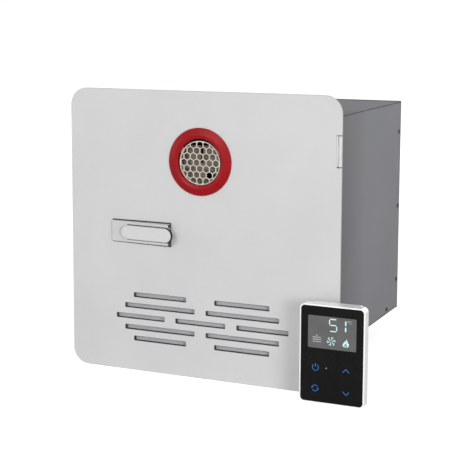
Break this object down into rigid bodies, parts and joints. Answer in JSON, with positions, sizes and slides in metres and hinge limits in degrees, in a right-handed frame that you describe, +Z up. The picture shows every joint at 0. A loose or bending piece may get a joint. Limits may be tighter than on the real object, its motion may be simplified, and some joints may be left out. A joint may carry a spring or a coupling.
{
  "type": "recessed propane water heater",
  "caption": "Wall-recessed tankless propane water heater: steel case behind a louvred hinged door with a round exhaust outlet, a lift latch and a separate touch control panel.",
  "frame": {"origin": "centre of the screw pattern in the mounting flange, on the flange's rear face, which is the face of the wall", "axes": "+X to the right and +Z up as seen from in front of the door, +Y into the wall towards the case's rear"},
  "size_m": [0.4256, 0.4285, 0.377],
  "materials": {
    "door_paint": "satin powder coat in off-white",
    "frame_paint": "satin powder coat in off-white",
    "latch_plastic": "moulded off-white plastic",
    "case_sheet": "dull grey coated steel sheet",
    "zinc_sheet": "zinc-plated sheet",
    "screw_steel": "dark plated steel",
    "exhaust_red": "red heat-proof enamel",
    "grille_steel": "stamped stainless steel",
    "stainless_sheet": "stainless sheet, slightly heat-tinted",
    "black_rubber": "matt black rubber",
    "mica_window": "clear heat-proof window",
    "copper": "bare copper",
    "ceramic_white": "glazed white ceramic",
    "cast_aluminium": "die-cast aluminium",
    "brass": "machined brass",
    "black_plastic": "black moulded plastic",
    "rocker_plastic": "gloss black moulded plastic",
    "rotor_plastic": "white moulded plastic",
    "board_green": "lacquered circuit board",
    "panel_white": "gloss white moulded plastic",
    "panel_black": "gloss black touch panel",
    "display_grey": "dark grey segment display"
  },
  "bodies": {
    "case": {"mounting_frame": "frame_paint", "door_gasket": "black_rubber", "side_panel_left": "case_sheet", "side_panel_right": "case_sheet", "top_panel": "case_sheet", "bottom_panel": "case_sheet", "rear_panel": "case_sheet", "inner_cover": "zinc_sheet", "cover_brackets": "zinc_sheet", "panel_screws": "screw_steel", "sight_glass": "mica_window", "frame_hinge_leaves": "frame_paint", "hinge_pins": "screw_steel", "latch_striker": "zinc_sheet", "exhaust_duct": "stainless_sheet", "duct_seal": "black_rubber", "flue_divider": "stainless_sheet", "flue_hood": "stainless_sheet", "exchanger_fins": "copper", "exchanger_shell": "copper", "exchanger_tubes": "copper", "combustion_chamber": "stainless_sheet", "burner_tray": "stainless_sheet", "burner_bars": "stainless_sheet", "igniter_electrodes": "ceramic_white", "gas_manifold": "cast_aluminium", "gas_valve": "cast_aluminium", "gas_pipe": "cast_aluminium", "gas_inlet_fitting": "brass", "water_inlet_fitting": "brass", "water_outlet_fitting": "brass", "rear_gland": "black_rubber", "flow_sensor": "black_plastic", "water_pipes": "copper", "blower_housing": "cast_aluminium", "blower_motor": "black_plastic", "control_box": "black_plastic", "control_lid": "black_plastic", "control_board": "board_green", "power_switch": "black_plastic"},
    "door": {"door_panel": "door_paint", "door_hinge_leaves": "frame_paint", "exhaust_ring": "exhaust_red", "exhaust_grille": "grille_steel", "rain_baffle": "zinc_sheet", "latch_base": "latch_plastic", "latch_pin": "screw_steel", "latch_screws": "screw_steel"},
    "latch": {"latch_lever": "latch_plastic"},
    "impeller": {"blower_impeller": "black_plastic"},
    "flow_rotor": {"flow_rotor": "rotor_plastic"},
    "rocker": {"power_rocker": "rocker_plastic"},
    "controller": {"controller_shell": "panel_white", "controller_glass": "panel_black", "controller_display": "display_grey", "controller_back": "panel_white", "controller_board": "board_green", "controller_bracket": "zinc_sheet"}
  },
  "joints": [
    {"name": "door_hinge", "type": "hinge", "parent": "case", "child": "door", "pos_m": [0.1879, -0.006, 0], "axis": [0, 0, 1], "range_deg": [0, 110]},
    {"name": "latch_lift", "type": "hinge", "parent": "door", "child": "latch", "pos_m": [-0.10655, -0.01135, 0], "axis": [0, 0, -1], "range_deg": [0, 35], "stiffness_Nm_per_rad": 0.3, "springref_deg": -17.19},
    {"name": "blower_spin", "type": "hinge", "parent": "case", "child": "impeller", "pos_m": [0, 0.264, -0.052], "axis": [0, 1, 0], "continuous": true},
    {"name": "flow_rotor_spin", "type": "hinge", "parent": "case", "child": "flow_rotor", "pos_m": [0.13, 0.342, -0.126], "axis": [0, 1, 0], "continuous": true},
    {"name": "power_rocker_tilt", "type": "hinge", "parent": "case", "child": "rocker", "pos_m": [0.112, 0.0412, -0.034], "axis": [1, 0, 0], "range_deg": [0, 16]},
    {"name": "controller_slide", "type": "slide", "parent": "case", "child": "controller", "axis": [1, 0, 0], "range_m": [0, 0.12]}
  ],
  "couplings": [
    {"joint": "controller_slide", "follows": "door_hinge", "m_per_rad": 0.0573}
  ]
}
